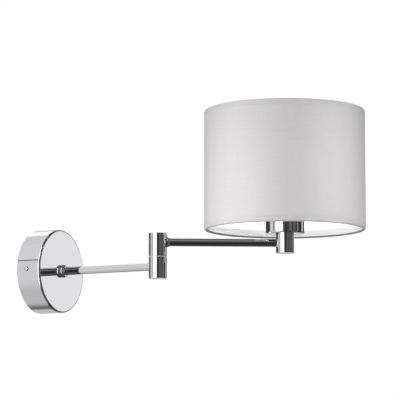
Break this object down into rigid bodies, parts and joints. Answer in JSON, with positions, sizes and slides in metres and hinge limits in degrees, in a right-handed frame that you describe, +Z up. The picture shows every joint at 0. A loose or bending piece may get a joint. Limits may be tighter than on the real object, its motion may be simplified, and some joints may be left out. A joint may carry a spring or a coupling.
{
  "type": "swing arm wall sconce",
  "caption": "Wall lamp with a round canopy, two tube arms joined by a swivel knuckle, and a fabric drum shade over a bulb in a metal cup.",
  "frame": {"origin": "centre of the wall bracket's back face, midway between its two wall slots, on the wall plane", "axes": "+Y points into the wall, so the lamp stands out along -Y; +Z is up; X runs along the line of the wall slots"},
  "size_m": [0.238, 0.4056, 0.2477],
  "materials": {
    "polished_chrome": "mirror polished chrome plate on brass and steel",
    "zinc_plated_steel": "bright zinc plate",
    "brass": "bare turned brass",
    "nickel_plated_cap": "bright nickel",
    "solder": "dull tin solder",
    "white_plastic": "white moulded thermoplastic",
    "nylon": "natural nylon",
    "steatite": "fired steatite",
    "black_vitrite": "black glass insulator",
    "white_wire": "white powder coat",
    "shade_fabric": "pale grey satin weave on a white liner",
    "opal_glass": "opal white glass",
    "flex_sheath": "white soft PVC",
    "live_insulation": "brown soft PVC",
    "neutral_insulation": "blue soft PVC",
    "earth_insulation": "green and yellow soft PVC"
  },
  "bodies": {
    "wall_arm": {"wall_bracket": "zinc_plated_steel", "canopy": "polished_chrome", "canopy_side_screws": "polished_chrome", "terminal_block": "white_plastic", "terminal_tubes": "brass", "terminal_screws": "zinc_plated_steel", "terminal_fixing_screw": "zinc_plated_steel", "earth_ring_terminal": "brass", "earth_screw": "brass", "canopy_collar": "polished_chrome", "arm_lock_washer": "zinc_plated_steel", "arm_lock_nut": "zinc_plated_steel", "inner_arm": "polished_chrome", "knuckle_lower": "polished_chrome", "knuckle_lower_cap": "polished_chrome", "pivot_tube": "zinc_plated_steel", "pivot_lower_nut": "zinc_plated_steel", "friction_washer": "nylon", "stop_pin": "zinc_plated_steel", "pivot_flat_washer": "zinc_plated_steel", "pivot_wave_washer": "zinc_plated_steel", "pivot_top_nut": "zinc_plated_steel", "inner_flex": "flex_sheath", "canopy_live_core": "live_insulation", "canopy_neutral_core": "neutral_insulation", "canopy_earth_core": "earth_insulation"},
    "swing_head": {"knuckle_upper": "polished_chrome", "knuckle_upper_cap": "polished_chrome", "pivot_bush": "nylon", "outer_arm_ferrule": "polished_chrome", "outer_arm": "polished_chrome", "arm_socket_holder": "polished_chrome", "holder_plug": "polished_chrome", "holder_nipple": "zinc_plated_steel", "nipple_nut": "zinc_plated_steel", "socket_cup": "polished_chrome", "lampholder_cap": "white_plastic", "lampholder_body": "white_plastic", "lampholder_insulator": "steatite", "lampholder_screw_shell": "nickel_plated_cap", "lampholder_centre_contact": "brass", "shade_ring_nuts": "white_plastic", "shade_spider": "white_wire", "shade_bottom_ring": "white_wire", "shade_top_ring": "white_wire", "shade_drum": "shade_fabric", "bulb_envelope": "opal_glass", "bulb_cap": "nickel_plated_cap", "bulb_foot_insulator": "black_vitrite", "bulb_foot_contact": "solder", "outer_flex": "flex_sheath", "lampholder_live_core": "live_insulation", "lampholder_neutral_core": "neutral_insulation"}
  },
  "joints": [
    {"name": "knuckle_swing", "type": "hinge", "parent": "wall_arm", "child": "swing_head", "pos_m": [0, -0.172, 0.0118], "axis": [0, 0, 1], "range_deg": [-142, 78]}
  ]
}
